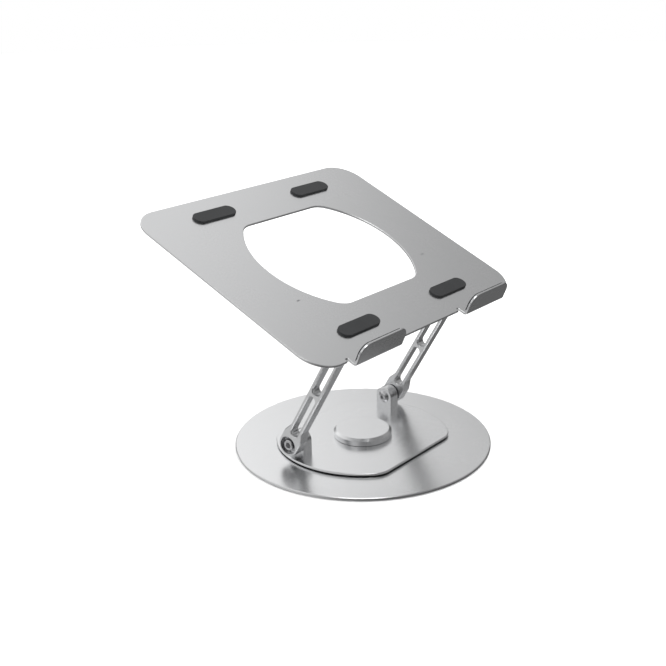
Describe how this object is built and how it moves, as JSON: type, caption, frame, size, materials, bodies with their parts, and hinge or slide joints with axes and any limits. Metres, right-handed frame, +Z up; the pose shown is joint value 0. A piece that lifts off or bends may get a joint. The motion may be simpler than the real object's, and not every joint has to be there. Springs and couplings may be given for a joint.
{
  "type": "tablet stand",
  "caption": "Folding metal tablet stand: a round turntable base, two slotted hinged arms and a tilting tray with two upturned lips and a large window.",
  "frame": {"origin": "centre of the foot pad's underside, on the turntable's axis", "axes": "+Z up along the turntable's axis, +X along the hinge pins, -Y towards the user and the tray's lips"},
  "size_m": [0.282, 0.2555, 0.2195],
  "materials": {
    "aluminium_blasted": "fine bead-blasted, clear anodised, satin",
    "aluminium_turned": "turned and bead-blasted with a polished bevel, clear anodised",
    "steel_screw": "bright machine-screw steel",
    "steel_washer": "plain pressed steel",
    "polymer_washer": "black low-friction polymer, matte",
    "polymer_bush": "natural white acetal, matte",
    "silicone_pad": "black silicone, matte"
  },
  "bodies": {
    "base": {"base_disc": "aluminium_blasted", "foot_pad": "silicone_pad", "pivot_cap": "aluminium_turned", "cap_screws": "steel_screw"},
    "turntable": {"swivel_plate": "aluminium_blasted", "pivot_bush": "polymer_bush", "cap_washer": "polymer_washer", "left_lug": "aluminium_blasted", "right_lug": "aluminium_blasted", "lower_lug_screws": "steel_screw", "lower_sleeve_nuts": "steel_screw", "lower_hinge_bolts": "steel_screw", "lower_spring_washers": "steel_washer"},
    "arms": {"left_arm": "aluminium_blasted", "right_arm": "aluminium_blasted", "lower_friction_washers": "polymer_washer", "upper_friction_washers": "polymer_washer"},
    "upper_pins": {"upper_sleeve_nuts": "steel_screw", "upper_hinge_bolts": "steel_screw", "upper_spring_washers": "steel_washer"},
    "tray": {"tray_plate": "aluminium_blasted", "left_tray_lug": "aluminium_blasted", "right_tray_lug": "aluminium_blasted", "tray_lug_screws": "steel_screw", "left_lip_pad": "silicone_pad", "right_lip_pad": "silicone_pad", "tray_pads": "silicone_pad"}
  },
  "joints": [
    {"name": "turntable_spin", "type": "hinge", "parent": "base", "child": "turntable", "pos_m": [0, 0, 0.004], "axis": [0, 0, 1], "continuous": true},
    {"name": "arm_fold", "type": "hinge", "parent": "turntable", "child": "arms", "pos_m": [0, 0.0202, 0.0195], "axis": [-1, 0, 0], "range_deg": [-60, 45]},
    {"name": "upper_pin_turn", "type": "hinge", "parent": "arms", "child": "upper_pins", "pos_m": [0, -0.04305, 0.12905], "axis": [1, 0, 0], "range_deg": [-60, 45]},
    {"name": "tray_tilt", "type": "hinge", "parent": "upper_pins", "child": "tray", "pos_m": [0, -0.04305, 0.12905], "axis": [1, 0, 0], "range_deg": [-23, 52]}
  ],
  "couplings": [
    {"joint": "upper_pin_turn", "follows": "arm_fold", "ratio": 1}
  ]
}
